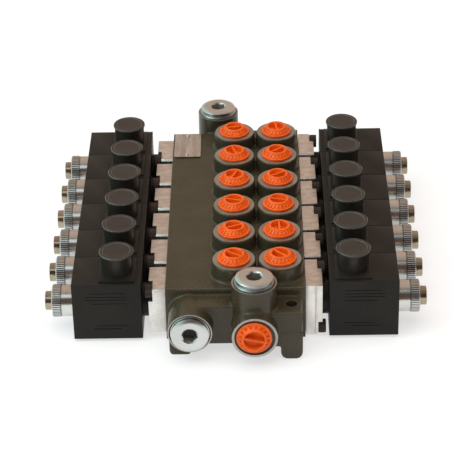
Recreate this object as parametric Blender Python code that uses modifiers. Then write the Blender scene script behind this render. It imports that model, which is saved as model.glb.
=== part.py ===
"""A six-section solenoid directional valve with a one-piece cast body.

Metres, +Z up. The feet stand on z = 0, the spools run along X and the sections follow each other
along Y, from the inlet end at -Y to the rear end at +Y. The origin is under the middle of its box.
"""
import bpy
import bmesh
from math import atan2, cos, pi, radians, sin, tan
from mathutils import Matrix, Vector

# Sections: six spools side by side
SECTIONS = 6
SECTION_PITCH = 0.038
SPOOL_HEIGHT = 0.0236
SEAT_GAP = 0.0003

# Cast body
BODY_WIDTH = 0.0992
DECK_HEIGHT = 0.0450
BODY_CLEARANCE = 0.0028
DECK_MARGIN = 0.0212
END_FLOOR = 0.0088
CAST_RADIUS = 0.0020
OVERLAP = 0.0060

# Work ports, two on each section
PORT_FACE_HEIGHT = 0.0566
PORT_ROW_SPACING = 0.0331
PORT_SIDE_MARGIN = 0.0003
PORT_BOSS_RADIUS = 0.0152
PORT_BOSS_FILLET = 0.0018
PORT_THREAD_RADIUS = 0.0084
PORT_THREAD_DEPTH = 0.0130
PORT_CORE_RADIUS = 0.0052
FACE_CHAMFER = 0.0008

# Inlet end: pressure port, tank port and relief valve boss
INLET_SIDE_SETBACK = 0.0361
INLET_HEIGHT = 0.0250
INLET_BOSS_RADIUS = 0.0163
INLET_THREAD_RADIUS = 0.0104
INLET_THREAD_DEPTH = 0.0140
INLET_RECESS_RADIUS = 0.0146
INLET_RECESS_DEPTH = 0.0012
GALLERY_RADIUS = 0.0055
TANK_SIDE_SETBACK = 0.0176
TANK_BOSS_RADIUS = 0.0157
TANK_FACE_SETBACK = 0.0067
TANK_GALLERY_RADIUS = 0.0045
TANK_GALLERY_HEIGHT = 0.0192
RELIEF_SETBACK = 0.0230
PASSAGE_SETBACK = 0.0175
PASSAGE_TOP = 0.0400
PASSAGE_CORNER = 0.0130
PASSAGE_SIDE = 0.0025
PAD_SETBACK = 0.0105
PAD_TOP = 0.0383
PAD_FLOOR = 0.0102
PORT_DRILLING_RADIUS = 0.0052

# Rear end: outlet boss on a lower ledge
OUTLET_SIDE_SETBACK = 0.0356
OUTLET_OFFSET = 0.0136
OUTLET_BOSS_RADIUS = 0.0158
LEDGE_MARGIN = 0.0034
LEDGE_TOP = 0.0265
LEDGE_CORNER = 0.0070
CROSS_PASSAGE_SETBACK = 0.0210
CROSS_PASSAGE_RADIUS = 0.0040

# Feet and mounting holes
FOOT_SIDE_MARGIN = 0.00235
FOOT_WIDTH = 0.0155
FOOT_CORNER = 0.0050
FOOT_LENGTH = 0.0240
FOOT_STEP = 0.0005
FOOT_RISE = 0.0220
MOUNTING_HOLE_RADIUS = 0.00425
FRONT_HOLE_SETBACK = 0.0230
REAR_HOLE_SETBACK = 0.0072

# Spools
SPOOL_BORE_RADIUS = 0.0080
SPOOL_CLEARANCE = 0.0003
SPOOL_STROKE = 0.0050
SPOOL_NECK_RADIUS = 0.0050
SPOOL_ROD_RADIUS = 0.0040
LAND_A_HALF = 0.0075
LAND_B_HALF = 0.0080
SPOOL_TAIL_SETBACK = 0.0081
STROKE_SPARE = 0.0005

# End housings between the body and the coils
HOUSING_THICKNESS = 0.0120
LEFT_HOUSING_SPACE = 0.0053
LEFT_HOUSING_CLEARANCE = 0.00605
RIGHT_HOUSING_SPACE = 0.0032
RIGHT_HOUSING_CLEARANCE = 0.0027
NOTCH_DEPTH = 0.0030
LEFT_NOTCH_RUN = 0.0130
LEFT_NOTCH_RISE = 0.0092
RIGHT_NOTCH_RUN = 0.0125
RIGHT_NOTCH_RISE = 0.0106
SCREW_HEAD_RADIUS = 0.0050
SCREW_HEAD_LENGTH = 0.0055
SCREW_EDGE = 0.0057
SCREW_RIM = 0.0037

# Solenoid tubes and their knurled coil nuts
TUBE_RADIUS = 0.0095
TUBE_SPIGOT = 0.0057
NUT_WALL = 0.0022
NUT_LENGTH = 0.0154
STUB_RADIUS = 0.0069
STUB_LENGTH = 0.0050
TUBE_CLEARANCE = 0.0003

# Coils with their connector caps
COIL_LENGTH = 0.0494
COIL_RISE = 0.0244
COIL_CLEARANCE = 0.0023
COIL_SEAM = 0.0004
COIL_COLLAR = 0.0045
COIL_COLLAR_WALL = 0.0023
PLATFORM_NEAR = 0.0043
PLATFORM_LENGTH = 0.0260
PLATFORM_MARGIN = 0.0030
PLATFORM_RISE = 0.0018
CAP_X = 0.01735
CAP_TOP = 0.0414
CAP_RIM_RADIUS = 0.0124
CAP_RIM_HEIGHT = 0.0015
CAP_NECK_RADIUS = 0.0117
CAP_BASE_RADIUS = 0.01115

# Orange port plugs: flange, crest, bar and shank
WORK_FLANGE_RADIUS = 0.01165
WORK_CREST_RADIUS = 0.0082
INLET_FLANGE_GAP = 0.0021
INLET_CREST_RADIUS = 0.0088
PLUG_FLANGE = 0.0011
PLUG_CREST_HEIGHT = 0.0050
PLUG_CREST_WALL = 0.0012
PLUG_FLOOR = 0.0015
PLUG_BAR_WIDTH = 0.0018
PLUG_SHANK_LENGTH = 0.0080
PLUG_A_TURNS = (-36, 24, -17, 68, 108, 10)
PLUG_B_TURNS = (-46, 92, -16, 33, 40, 97)
INLET_PLUG_TURN = -9

# Steel hexagon-socket plugs
STEEL_PLUG_RADIUS = 0.01355
STEEL_PLUG_HEAD = 0.0050
STEEL_PLUG_EDGE = 0.0008
STEEL_PLUG_SHANK = 0.0100
HEX_ACROSS_FLATS = 0.0104
HEX_DEPTH = 0.0060

# Nameplate
PLATE_LENGTH = 0.0376
PLATE_BOSS_GAP = 0.0099
PLATE_THICKNESS = 0.0008
PLATE_SIDE_INSET = 0.0011
PLATE_END_INSET = 0.0042
PLATE_CORNER = 0.0015
RIVET_RADIUS = 0.0013
RIVET_RISE = 0.0006
RIVET_EDGE = 0.0030

# Facets around a turned shape, and how near two corners are the same one
WELD = 0.000005
SHOWN_STEPS = 14
ROUND_STEPS = 12
INNER_STEPS = 8
SMALL_STEPS = 8
DRILLING_STEPS = 6

# Places worked out from the sizes above
HALF_BODY = BODY_WIDTH / 2
END_AXIS = SECTION_PITCH * (SECTIONS - 1) / 2
DECK_END = END_AXIS + DECK_MARGIN
PORT_B_X = HALF_BODY - PORT_SIDE_MARGIN - PORT_BOSS_FILLET - PORT_BOSS_RADIUS
PORT_A_X = PORT_B_X - PORT_ROW_SPACING
INLET_X = HALF_BODY - INLET_SIDE_SETBACK
TANK_X = TANK_SIDE_SETBACK - HALF_BODY
OUTLET_X = OUTLET_SIDE_SETBACK - HALF_BODY
OUTLET_Y = DECK_END + OUTLET_OFFSET
END_FACE = OUTLET_Y + OUTLET_BOSS_RADIUS + LEDGE_MARGIN
FOOT_X = HALF_BODY - FOOT_SIDE_MARGIN - FOOT_WIDTH / 2
LEFT_HOUSING = (SECTION_PITCH - LEFT_HOUSING_SPACE, 2 * (SPOOL_HEIGHT - LEFT_HOUSING_CLEARANCE))
RIGHT_HOUSING = (SECTION_PITCH - RIGHT_HOUSING_SPACE, 2 * (SPOOL_HEIGHT - RIGHT_HOUSING_CLEARANCE))
HOUSING_OUTER = HALF_BODY + SEAT_GAP + HOUSING_THICKNESS
COIL_INNER = HOUSING_OUTER + SEAT_GAP + COIL_COLLAR
COIL_OUTER = COIL_INNER + COIL_LENGTH
SPOOL_END = HOUSING_OUTER - TUBE_SPIGOT - SPOOL_STROKE - STROKE_SPARE
SPOOL_TAIL = HALF_BODY - SPOOL_TAIL_SETBACK
TUBE_BORE_RADIUS = TUBE_RADIUS + TUBE_CLEARANCE
NUT_RADIUS = TUBE_RADIUS + NUT_WALL
INLET_FLANGE_RADIUS = INLET_RECESS_RADIUS - INLET_FLANGE_GAP
PLATE_LEFT = PLATE_SIDE_INSET - HALF_BODY
PLATE_WIDTH = PORT_A_X - PORT_BOSS_RADIUS - PORT_BOSS_FILLET - PLATE_BOSS_GAP - PLATE_LEFT
PLUG_CREST_REACH = END_FACE - INLET_RECESS_DEPTH + SEAT_GAP + PLUG_CREST_HEIGHT
BOX_SHIFT = (PLUG_CREST_REACH - END_FACE) / 2


def remove_everything():
    for obj in list(bpy.data.objects):
        bpy.data.objects.remove(obj)
    for group in list(bpy.data.collections):
        bpy.data.collections.remove(group)


def new_collection(name):
    group = bpy.data.collections.new(name)
    bpy.context.scene.collection.children.link(group)
    return group


def material(name, colour, roughness, metallic):
    finish = bpy.data.materials.new(name)
    finish.use_nodes = True
    shader = finish.node_tree.nodes["Principled BSDF"]
    shader.inputs["Base Color"].default_value = (*colour, 1.0)
    shader.inputs["Roughness"].default_value = roughness
    shader.inputs["Metallic"].default_value = metallic
    finish.diffuse_color = (*colour, 1.0)
    return finish


def section_place(section):
    """How far along Y a section's spool lies, the first section being next to the inlet."""
    return section * SECTION_PITCH - END_AXIS


def evaluated_mesh(obj):
    bpy.context.view_layer.update()
    depsgraph = bpy.context.evaluated_depsgraph_get()
    return bpy.data.meshes.new_from_object(obj.evaluated_get(depsgraph))


def on_bench(mesh):
    """A short-lived object for a mesh that a modifier works on."""
    obj = bpy.data.objects.new("workpiece", mesh)
    obj.hide_render = True
    obj.display_type = "WIRE"
    bench.objects.link(obj)
    return obj


def welded(mesh):
    shape = bmesh.new()
    shape.from_mesh(mesh)
    bmesh.ops.remove_doubles(shape, verts=shape.verts, dist=WELD)
    bmesh.ops.dissolve_degenerate(shape, edges=shape.edges, dist=WELD)
    shape.to_mesh(mesh)
    shape.free()
    return mesh


def boolean(base, tool, operation):
    kept = on_bench(base)
    other = on_bench(tool)
    modifier = kept.modifiers.new("Boolean", "BOOLEAN")
    modifier.operation = operation
    modifier.solver = "EXACT"
    modifier.object = other
    result = evaluated_mesh(kept)
    bpy.data.objects.remove(kept)
    bpy.data.objects.remove(other)
    return welded(result)


def fused(base, *tools):
    for tool in tools:
        base = boolean(base, tool, "UNION")
    return base


def cut(base, *tools):
    for tool in tools:
        base = boolean(base, tool, "DIFFERENCE")
    return base


def bevelled(mesh, width, segments=2):
    obj = on_bench(mesh)
    bevel = obj.modifiers.new("Bevel", "BEVEL")
    bevel.width = width
    bevel.segments = segments
    bevel.limit_method = "ANGLE"
    bevel.angle_limit = radians(40)
    result = evaluated_mesh(obj)
    bpy.data.objects.remove(obj)
    return result


def block(low, high):
    """A box from its lowest to its highest corner."""
    mesh = bpy.data.meshes.new("block")
    shape = bmesh.new()
    bmesh.ops.create_cube(shape, size=1.0)
    size = Vector(high) - Vector(low)
    bmesh.ops.scale(shape, vec=size, verts=shape.verts)
    bmesh.ops.translate(shape, vec=Vector(low) + size / 2, verts=shape.verts)
    shape.to_mesh(mesh)
    shape.free()
    return mesh


def turned(profile, steps):
    """A profile of (radius, height) points, top to bottom down its outer side, turned about Z."""
    mesh = bpy.data.meshes.new("turned")
    points = [(radius, 0.0, height) for radius, height in profile]
    edges = [(i, i + 1) for i in range(len(points) - 1)]
    mesh.from_pydata(points, edges, [])
    obj = on_bench(mesh)
    screw = obj.modifiers.new("Screw", "SCREW")
    screw.steps = steps
    screw.render_steps = steps
    screw.use_merge_vertices = True
    screw.merge_threshold = WELD
    result = evaluated_mesh(obj)
    bpy.data.objects.remove(obj)
    return result


def rod(radius, top, bottom, steps):
    return turned([(0, top), (radius, top), (radius, bottom), (0, bottom)], steps)


def rounded(corners, arc_steps=3):
    """An outline through (x, y, radius) corners, each rounded by its own radius."""
    outline = []
    for i, (x, y, radius) in enumerate(corners):
        corner = Vector((x, y))
        if radius == 0:
            outline.append(corner)
            continue
        to_last = (Vector(corners[i - 1][:2]) - corner).normalized()
        to_next = (Vector(corners[(i + 1) % len(corners)][:2]) - corner).normalized()
        half = to_last.angle(to_next) / 2
        centre = corner + (to_last + to_next).normalized() * radius / sin(half)
        start = corner + to_last * radius / tan(half) - centre
        end = corner + to_next * radius / tan(half) - centre
        first = atan2(start.y, start.x)
        sweep = (atan2(end.y, end.x) - first + pi) % (2 * pi) - pi
        for step in range(arc_steps + 1):
            angle = first + sweep * step / arc_steps
            outline.append(centre + Vector((cos(angle), sin(angle))) * radius)
    return outline


def extruded(outline, thickness):
    """A flat outline in XY, filled and given its thickness along Z, about z = 0."""
    curve = bpy.data.curves.new("outline", "CURVE")
    curve.dimensions = "2D"
    curve.fill_mode = "BOTH"
    curve.extrude = thickness / 2
    spline = curve.splines.new("POLY")
    spline.points.add(len(outline) - 1)
    for point, place in zip(spline.points, outline):
        point.co = (place.x, place.y, 0.0, 1.0)
    spline.use_cyclic_u = True
    obj = bpy.data.objects.new("outline", curve)
    bench.objects.link(obj)
    result = evaluated_mesh(obj)
    bpy.data.objects.remove(obj)
    return welded(result)


def upright(outline, near, far):
    """An outline drawn in X and Z, run along Y from near to far."""
    mesh = extruded(outline, abs(far - near))
    mesh.transform(Matrix.Translation((0, (near + far) / 2, 0)) @ Matrix.Rotation(radians(90), 4, "X"))
    return mesh


def moved(mesh, x=0.0, y=0.0, z=0.0):
    copy = mesh.copy()
    copy.transform(Matrix.Translation((x, y, z)))
    return copy


def along_x(mesh):
    """Turns a shape's own Z axis to +X."""
    mesh.transform(Matrix.Rotation(radians(90), 4, "Y"))
    return mesh


def facing_front(mesh):
    """Turns a shape's own Z axis to -Y, towards the inlet end."""
    mesh.transform(Matrix.Rotation(radians(90), 4, "X"))
    return mesh


def together(meshes):
    """Several shapes that don't touch, in one mesh."""
    joined = bpy.data.meshes.new("together")
    shape = bmesh.new()
    for mesh in meshes:
        shape.from_mesh(mesh)
    shape.to_mesh(joined)
    shape.free()
    return joined


def placed(name, mesh, finish, location=(0, 0, 0), turn=0.0):
    """A finished piece as its own object; the mesh may be shared with its twins."""
    if not mesh.materials:
        mesh.materials.append(finish)
        mesh.shade_smooth()
        mesh.set_sharp_from_angle(angle=radians(35))
    obj = bpy.data.objects.new(name, mesh)
    obj.location = location
    obj.rotation_euler.z = turn
    parts.objects.link(obj)
    obj.parent = valve
    return obj


def boss(radius, face, root, fillet=0.0):
    """A round boss with a chamfered face, and a fillet where it leaves the casting."""
    profile = [(0, face), (radius - FACE_CHAMFER, face), (radius, face - FACE_CHAMFER),
               (radius, root + fillet)]
    if fillet:
        profile.append((radius + fillet, root))
        profile.append((radius + fillet, root - OVERLAP))
    profile.append((0, profile[-1][1]))
    return turned(profile, SHOWN_STEPS)


def foot_outline(x, top):
    half = FOOT_WIDTH / 2
    return rounded([(x - half, 0, FOOT_CORNER), (x + half, 0, FOOT_CORNER),
                    (x + half, top, 0), (x - half, top, 0)])


def end_casting():
    """The lower casting at both ends of the body: cast passage, screw pad, rear ledge and feet."""
    inner_end = DECK_END - OVERLAP
    side = HALF_BODY - PASSAGE_SIDE
    passage = upright(rounded([(-side, END_FLOOR, 0), (INLET_X, END_FLOOR, 0),
                               (INLET_X, PASSAGE_TOP, 0), (-side, PASSAGE_TOP, PASSAGE_CORNER)]),
                      -inner_end, PASSAGE_SETBACK - END_FACE)
    pad_edge = FOOT_X + FOOT_WIDTH / 2 - FOOT_STEP
    pad = upright(rounded([(INLET_X + OVERLAP, PAD_FLOOR, 0), (pad_edge, PAD_FLOOR, 0),
                           (pad_edge, PAD_TOP, CAST_RADIUS), (INLET_X + OVERLAP, PAD_TOP, 0)], 2),
                  -inner_end, PAD_SETBACK - END_FACE)
    ledge = upright(rounded([(-side, END_FLOOR, 0), (side, END_FLOOR, 0),
                             (side, LEDGE_TOP, LEDGE_CORNER), (-side, LEDGE_TOP, LEDGE_CORNER)], 3),
                    inner_end, END_FACE)
    left_end = PASSAGE_SETBACK - END_FACE - FOOT_STEP
    right_end = PAD_SETBACK - END_FACE - FOOT_STEP
    rear_end = END_FACE - FOOT_STEP
    low_foot = END_FLOOR + OVERLAP
    feet = [upright(foot_outline(-FOOT_X, low_foot), left_end, left_end + FOOT_LENGTH),
            upright(foot_outline(FOOT_X, FOOT_RISE), right_end, right_end + FOOT_LENGTH),
            upright(foot_outline(-FOOT_X, low_foot), rear_end - FOOT_LENGTH, rear_end),
            upright(foot_outline(FOOT_X, low_foot), rear_end - FOOT_LENGTH, rear_end)]
    return [bevelled(passage, CAST_RADIUS), pad, bevelled(ledge, CAST_RADIUS), together(feet)]


def casting():
    """The rough casting: body, both ends and the round bosses."""
    body = bevelled(block((-HALF_BODY, -DECK_END, BODY_CLEARANCE), (HALF_BODY, DECK_END, DECK_HEIGHT)),
                    CAST_RADIUS, 1)
    body = fused(body, *end_casting())

    deck_boss = boss(PORT_BOSS_RADIUS, PORT_FACE_HEIGHT, DECK_HEIGHT, PORT_BOSS_FILLET)
    for x in (PORT_A_X, PORT_B_X):
        body = fused(body, together([moved(deck_boss, x, section_place(i)) for i in range(SECTIONS)]))

    relief = boss(INLET_BOSS_RADIUS, PORT_FACE_HEIGHT, INLET_HEIGHT)
    relief.transform(Matrix.Rotation(pi / SHOWN_STEPS, 4, "Z"))
    outlet = boss(OUTLET_BOSS_RADIUS, PORT_FACE_HEIGHT, END_FLOOR + CAST_RADIUS)
    inlet = facing_front(boss(INLET_BOSS_RADIUS, END_FACE, DECK_END - OVERLAP))
    tank = facing_front(boss(TANK_BOSS_RADIUS, END_FACE - TANK_FACE_SETBACK, DECK_END - OVERLAP))
    return fused(body, moved(relief, INLET_X, RELIEF_SETBACK - END_FACE),
                 moved(outlet, OUTLET_X, OUTLET_Y),
                 moved(inlet, INLET_X, 0, INLET_HEIGHT), moved(tank, TANK_X, 0, INLET_HEIGHT))


def machined(body):
    """The casting with its spool bores, ports, galleries and mounting holes."""
    mouth = OVERLAP
    spool_bore = along_x(rod(SPOOL_BORE_RADIUS, HALF_BODY + mouth, -HALF_BODY - mouth, INNER_STEPS))
    body = cut(body, together([moved(spool_bore, 0, section_place(i), SPOOL_HEIGHT)
                               for i in range(SECTIONS)]))

    face = PORT_FACE_HEIGHT
    thread = rod(PORT_THREAD_RADIUS, face + mouth, face - PORT_THREAD_DEPTH, ROUND_STEPS)
    core = rod(PORT_CORE_RADIUS, face - PORT_THREAD_DEPTH / 2, SPOOL_HEIGHT, DRILLING_STEPS)
    for drilled in (thread, core):
        body = cut(body, together([moved(drilled, x, section_place(i))
                                   for x in (PORT_A_X, PORT_B_X) for i in range(SECTIONS)]))

    recess_floor = END_FACE - INLET_RECESS_DEPTH
    inlet_thread_end = recess_floor - INLET_THREAD_DEPTH
    inlet = turned([(0, END_FACE + mouth), (INLET_RECESS_RADIUS, END_FACE + mouth),
                    (INLET_RECESS_RADIUS, recess_floor), (INLET_THREAD_RADIUS, recess_floor),
                    (INLET_THREAD_RADIUS, inlet_thread_end), (0, inlet_thread_end)], SHOWN_STEPS)
    tank_face = END_FACE - TANK_FACE_SETBACK
    tank = rod(INLET_THREAD_RADIUS, tank_face + mouth, tank_face - INLET_THREAD_DEPTH, ROUND_STEPS)
    pressure_gallery = rod(GALLERY_RADIUS, inlet_thread_end + mouth, -END_AXIS - mouth, DRILLING_STEPS)
    cross_y = END_FACE - CROSS_PASSAGE_SETBACK
    tank_gallery = rod(TANK_GALLERY_RADIUS, tank_face - INLET_THREAD_DEPTH + mouth,
                       -cross_y - CROSS_PASSAGE_RADIUS / 2, DRILLING_STEPS)
    for at_inlet, at_tank, tank_height in ((inlet, tank, INLET_HEIGHT),
                                           (pressure_gallery, tank_gallery, TANK_GALLERY_HEIGHT)):
        body = cut(body, together([moved(facing_front(at_inlet), INLET_X, 0, INLET_HEIGHT),
                                   moved(facing_front(at_tank), TANK_X, 0, tank_height)]))

    upper_thread = rod(INLET_THREAD_RADIUS, face + mouth, face - INLET_THREAD_DEPTH, ROUND_STEPS)
    to_inlet = rod(PORT_DRILLING_RADIUS, face - INLET_THREAD_DEPTH / 2, INLET_HEIGHT, DRILLING_STEPS)
    to_tank = rod(PORT_DRILLING_RADIUS, face - INLET_THREAD_DEPTH / 2, TANK_GALLERY_HEIGHT, DRILLING_STEPS)
    for at_relief, at_outlet in ((upper_thread, upper_thread), (to_inlet, to_tank)):
        body = cut(body, together([moved(at_relief, INLET_X, RELIEF_SETBACK - END_FACE),
                                   moved(at_outlet, OUTLET_X, OUTLET_Y)]))
    cross = along_x(rod(CROSS_PASSAGE_RADIUS, OUTLET_X, TANK_X - TANK_GALLERY_RADIUS / 2, DRILLING_STEPS))
    body = cut(body, moved(cross, 0, cross_y, TANK_GALLERY_HEIGHT))

    mounting = rod(MOUNTING_HOLE_RADIUS, DECK_HEIGHT, -mouth, INNER_STEPS)
    return cut(body, together([moved(mounting, FOOT_X, FRONT_HOLE_SETBACK - END_FACE),
                               moved(mounting, FOOT_X, END_FACE - REAR_HOLE_SETBACK),
                               moved(mounting, -FOOT_X, END_FACE - REAR_HOLE_SETBACK)]))


def end_housing(width, height, notch_run, notch_rise):
    """The plate that closes a spool bore, its two screw notches and cap screws, outwards along +X."""
    inner = HALF_BODY + SEAT_GAP
    plate = block((inner, -width / 2, -height / 2), (HOUSING_OUTER, width / 2, height / 2))
    floor = HOUSING_OUTER - NOTCH_DEPTH
    upper = block((floor, width / 2 - notch_run, height / 2 - notch_rise),
                  (HOUSING_OUTER + OVERLAP, width / 2 + OVERLAP, height / 2 + OVERLAP))
    lower = upper.copy()
    lower.transform(Matrix.Rotation(pi, 4, "X"))
    bore = along_x(rod(TUBE_BORE_RADIUS, HOUSING_OUTER + OVERLAP, inner - OVERLAP, ROUND_STEPS))
    plate = cut(plate, together([upper, lower]), bore)
    screw = along_x(rod(SCREW_HEAD_RADIUS, floor + SCREW_HEAD_LENGTH, floor - SEAT_GAP, SMALL_STEPS))
    y = width / 2 - SCREW_EDGE
    z = height / 2 - SCREW_RIM
    return fused(plate, together([moved(screw, 0, y, z), moved(screw, 0, -y, -z)]))


def solenoid_tube():
    """The pressure-tight tube with the knurled nut that holds the coil, outwards along +X."""
    nut_start = COIL_OUTER + SEAT_GAP
    nut_end = nut_start + NUT_LENGTH
    tube_start = HOUSING_OUTER - TUBE_SPIGOT
    return along_x(turned(
        [(0, nut_end + STUB_LENGTH), (STUB_RADIUS, nut_end + STUB_LENGTH), (STUB_RADIUS, nut_end),
         (NUT_RADIUS, nut_end), (NUT_RADIUS, nut_start), (TUBE_RADIUS, nut_start),
         (TUBE_RADIUS, tube_start), (0, tube_start)], ROUND_STEPS))


def coil():
    """A moulded coil with its connector platform and cap, outwards along +X."""
    half = (SECTION_PITCH - COIL_SEAM) / 2
    box = block((COIL_INNER, -half, COIL_CLEARANCE - SPOOL_HEIGHT), (COIL_OUTER, half, COIL_RISE))
    collar = along_x(rod(TUBE_BORE_RADIUS + COIL_COLLAR_WALL, COIL_INNER + OVERLAP,
                         COIL_INNER - COIL_COLLAR, ROUND_STEPS))
    near = COIL_INNER + PLATFORM_NEAR
    platform = block((near, PLATFORM_MARGIN - half, COIL_RISE - OVERLAP),
                     (near + PLATFORM_LENGTH, half - PLATFORM_MARGIN, COIL_RISE + PLATFORM_RISE))
    cap = turned(
        [(0, CAP_TOP), (CAP_RIM_RADIUS, CAP_TOP), (CAP_RIM_RADIUS, CAP_TOP - CAP_RIM_HEIGHT),
         (CAP_NECK_RADIUS, CAP_TOP - CAP_RIM_HEIGHT), (CAP_BASE_RADIUS, COIL_RISE),
         (0, COIL_RISE)], SHOWN_STEPS)
    bore = along_x(rod(TUBE_BORE_RADIUS, COIL_OUTER + OVERLAP, HOUSING_OUTER, ROUND_STEPS))
    return cut(fused(box, collar, platform, moved(cap, COIL_INNER + CAP_X)), bore)


def spool():
    """A spool with its control lands, necks and end rods, along X."""
    land = SPOOL_BORE_RADIUS - SPOOL_CLEARANCE
    return along_x(turned(
        [(0, SPOOL_END), (SPOOL_ROD_RADIUS, SPOOL_END), (SPOOL_ROD_RADIUS, SPOOL_TAIL),
         (land, SPOOL_TAIL), (land, PORT_B_X - LAND_B_HALF),
         (SPOOL_NECK_RADIUS, PORT_B_X - LAND_B_HALF), (SPOOL_NECK_RADIUS, PORT_A_X + LAND_A_HALF),
         (land, PORT_A_X + LAND_A_HALF), (land, PORT_A_X - LAND_A_HALF),
         (SPOOL_ROD_RADIUS, PORT_A_X - LAND_A_HALF), (SPOOL_ROD_RADIUS, -SPOOL_END),
         (0, -SPOOL_END)], INNER_STEPS))


def plastic_plug(flange, crest, shank):
    """A moulded plug: flange, raised crest round a recess with a grip bar, and a solid shank."""
    inner = crest - PLUG_CREST_WALL
    plug = turned(
        [(0, PLUG_FLOOR), (inner, PLUG_FLOOR), (inner, PLUG_CREST_HEIGHT),
         (crest, PLUG_CREST_HEIGHT), (flange, PLUG_FLANGE), (flange, 0), (shank, 0),
         (shank, -PLUG_SHANK_LENGTH), (0, -PLUG_SHANK_LENGTH)], ROUND_STEPS)
    reach = inner + PLUG_CREST_WALL / 2
    bar = block((-reach, -PLUG_BAR_WIDTH / 2, PLUG_FLOOR / 2),
                (reach, PLUG_BAR_WIDTH / 2, PLUG_CREST_HEIGHT - PLUG_CREST_WALL / 2))
    return fused(plug, bar)


def steel_plug():
    """A screwed plug with a flat round head and a hexagon socket."""
    plug = turned(
        [(0, STEEL_PLUG_HEAD), (STEEL_PLUG_RADIUS - STEEL_PLUG_EDGE, STEEL_PLUG_HEAD),
         (STEEL_PLUG_RADIUS, STEEL_PLUG_HEAD - STEEL_PLUG_EDGE), (STEEL_PLUG_RADIUS, 0),
         (INLET_THREAD_RADIUS - SEAT_GAP, 0), (INLET_THREAD_RADIUS - SEAT_GAP, -STEEL_PLUG_SHANK),
         (0, -STEEL_PLUG_SHANK)], ROUND_STEPS)
    socket = rod(HEX_ACROSS_FLATS / 2 / cos(pi / 6), STEEL_PLUG_HEAD + OVERLAP,
                 STEEL_PLUG_HEAD - HEX_DEPTH, 6)
    return cut(plug, socket)


def nameplate():
    """A thin plate held by two rivets."""
    half_x = PLATE_WIDTH / 2
    half_y = PLATE_LENGTH / 2
    plate = extruded(rounded([(-half_x, -half_y, PLATE_CORNER), (half_x, -half_y, PLATE_CORNER),
                              (half_x, half_y, PLATE_CORNER), (-half_x, half_y, PLATE_CORNER)], 2),
                     PLATE_THICKNESS)
    rivet = rod(RIVET_RADIUS, PLATE_THICKNESS / 2 + RIVET_RISE, 0, SMALL_STEPS)
    offset = half_y - RIVET_EDGE
    return fused(plate, together([moved(rivet, 0, offset), moved(rivet, 0, -offset)]))


remove_everything()
parts = new_collection("solenoid_directional_valve")
bench = new_collection("bench")
valve = bpy.data.objects.new("valve", None)
valve.location.y = BOX_SHIFT
parts.objects.link(valve)

cast_paint = material("cast_paint", (0.065, 0.055, 0.042), 0.45, 0.3)
bright_steel = material("bright_steel", (0.62, 0.60, 0.57), 0.3, 1.0)
plate_steel = material("plate_steel", (0.60, 0.56, 0.52), 0.4, 1.0)
coil_plastic = material("coil_plastic", (0.035, 0.030, 0.028), 0.5, 0.0)
plug_orange = material("plug_orange", (0.90, 0.14, 0.01), 0.4, 0.0)
hard_steel = material("hard_steel", (0.40, 0.40, 0.42), 0.25, 1.0)
plate_aluminium = material("plate_aluminium", (0.55, 0.52, 0.50), 0.35, 1.0)

placed("valve_body", machined(casting()), cast_paint)

spool_mesh = spool()
coil_mesh = coil()
tube_mesh = solenoid_tube()
left_housing = end_housing(*LEFT_HOUSING, LEFT_NOTCH_RUN, LEFT_NOTCH_RISE)
right_housing = end_housing(*RIGHT_HOUSING, RIGHT_NOTCH_RUN, RIGHT_NOTCH_RISE)
work_plug = plastic_plug(WORK_FLANGE_RADIUS, WORK_CREST_RADIUS, PORT_THREAD_RADIUS - SEAT_GAP)
for i in range(SECTIONS):
    number = i + 1
    axis = (0, section_place(i), SPOOL_HEIGHT)
    placed(f"spool_{number}", spool_mesh, hard_steel, axis)
    for side, turn, housing in (("left", pi, left_housing), ("right", 0.0, right_housing)):
        placed(f"end_housing_{side}_{number}", housing, plate_steel, axis, turn)
        placed(f"solenoid_tube_{side}_{number}", tube_mesh, bright_steel, axis, turn)
        placed(f"coil_{side}_{number}", coil_mesh, coil_plastic, axis, turn)
    for letter, x, turns in (("a", PORT_A_X, PLUG_A_TURNS), ("b", PORT_B_X, PLUG_B_TURNS)):
        placed(f"work_port_plug_{letter}{number}", work_plug, plug_orange,
               (x, section_place(i), PORT_FACE_HEIGHT + SEAT_GAP), radians(turns[i]))

inlet_plug = plastic_plug(INLET_FLANGE_RADIUS, INLET_CREST_RADIUS, INLET_THREAD_RADIUS - SEAT_GAP)
inlet_plug.transform(Matrix.Rotation(radians(INLET_PLUG_TURN), 4, "Z"))
placed("pressure_port_plug", facing_front(inlet_plug), plug_orange,
       (INLET_X, INLET_RECESS_DEPTH - END_FACE - SEAT_GAP, INLET_HEIGHT))
steel_plug_mesh = steel_plug()
placed("relief_port_plug", steel_plug_mesh, bright_steel,
       (INLET_X, RELIEF_SETBACK - END_FACE, PORT_FACE_HEIGHT + SEAT_GAP))
placed("outlet_port_plug", steel_plug_mesh, bright_steel,
       (OUTLET_X, OUTLET_Y, PORT_FACE_HEIGHT + SEAT_GAP))
placed("tank_port_plug", facing_front(steel_plug_mesh.copy()), bright_steel,
       (TANK_X, TANK_FACE_SETBACK - END_FACE - SEAT_GAP, INLET_HEIGHT))
placed("nameplate", nameplate(), plate_aluminium,
       (PLATE_LEFT + PLATE_WIDTH / 2, DECK_END - PLATE_END_INSET - PLATE_LENGTH / 2,
        DECK_HEIGHT + SEAT_GAP + PLATE_THICKNESS / 2))
bpy.data.collections.remove(bench)
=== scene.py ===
"""A six-section solenoid directional valve: cast body, two banks of coils and plugged ports."""
from math import cos, pi, radians, sin

import bmesh
import bpy
from mathutils import Matrix, Vector


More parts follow.
